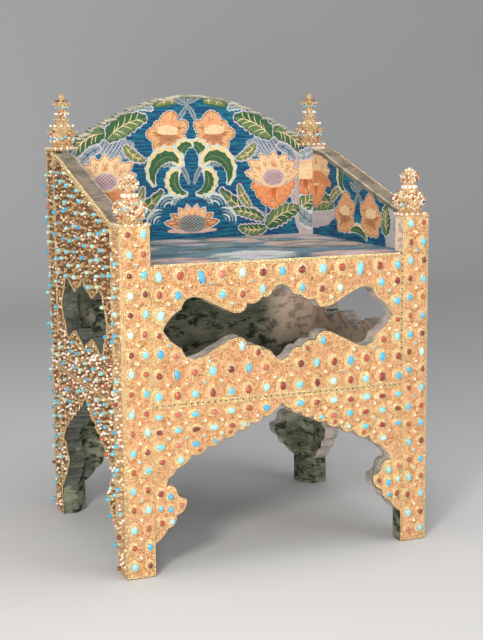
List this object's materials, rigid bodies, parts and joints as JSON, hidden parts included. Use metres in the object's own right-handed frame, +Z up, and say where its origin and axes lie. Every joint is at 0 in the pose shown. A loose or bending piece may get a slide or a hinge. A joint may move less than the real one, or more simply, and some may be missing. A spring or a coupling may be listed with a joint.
{
  "type": "ceremonial throne",
  "caption": "Low gold-clad ceremonial throne set with turquoises, red stones and pearls, with a lobed brocade-lined back, sloping arms, cusped openings and pearl finials.",
  "frame": {"origin": "on the floor under the middle of the throne", "axes": "+Z up, -Y towards the front, +X towards the right as seen from the front"},
  "size_m": [0.64, 0.525, 0.9],
  "materials": {
    "wood": "brown hardwood, sawn and lightly planed, seen only at the feet and cut edges",
    "gold": "embossed warm gold sheet with granulation and wire borders, collets with turquoises and red stones, pearls on pins",
    "brocade": "deep blue figured silk with lilies, large orange flowers and green leaves, faintly ribbed",
    "under_cloth": "grey-green printed cotton with leaves, matt",
    "edging": "beige cloth with a thin piping, slightly soiled"
  },
  "bodies": {
    "root": {"post_front_left": "wood", "post_sheet_front_left": "gold", "post_cap_front_left": "gold", "leg_lining_front_left": "under_cloth", "corner_lining_front_left": "brocade", "finial_front_left": "gold", "post_front_right": "wood", "post_sheet_front_right": "gold", "post_cap_front_right": "gold", "leg_lining_front_right": "under_cloth", "corner_lining_front_right": "brocade", "finial_front_right": "gold", "post_back_left": "wood", "post_sheet_back_left": "gold", "post_cap_back_left": "gold", "leg_lining_back_left": "under_cloth", "corner_lining_back_left": "brocade", "finial_back_left": "gold", "post_back_right": "wood", "post_sheet_back_right": "gold", "post_cap_back_right": "gold", "leg_lining_back_right": "under_cloth", "corner_lining_back_right": "brocade", "finial_back_right": "gold", "front_panel": "wood", "front_apron": "wood", "front_panel_sheet": "gold", "front_apron_sheet": "gold", "back_panel": "wood", "back_apron": "wood", "back_panel_sheet": "gold", "back_apron_sheet": "gold", "side_panel_left": "wood", "side_apron_left": "wood", "side_panel_sheet_left": "gold", "side_apron_sheet_left": "gold", "side_panel_right": "wood", "side_apron_right": "wood", "side_panel_sheet_right": "gold", "side_apron_sheet_right": "gold", "under_lining_front": "under_cloth", "under_lining_back": "under_cloth", "under_lining_left": "under_cloth", "under_lining_right": "under_cloth", "back_lining": "brocade", "arm_lining_left": "brocade", "arm_edging_left": "edging", "arm_lining_right": "brocade", "arm_edging_right": "edging", "seat_board": "wood", "seat_cover": "brocade"}
  },
  "joints": []
}
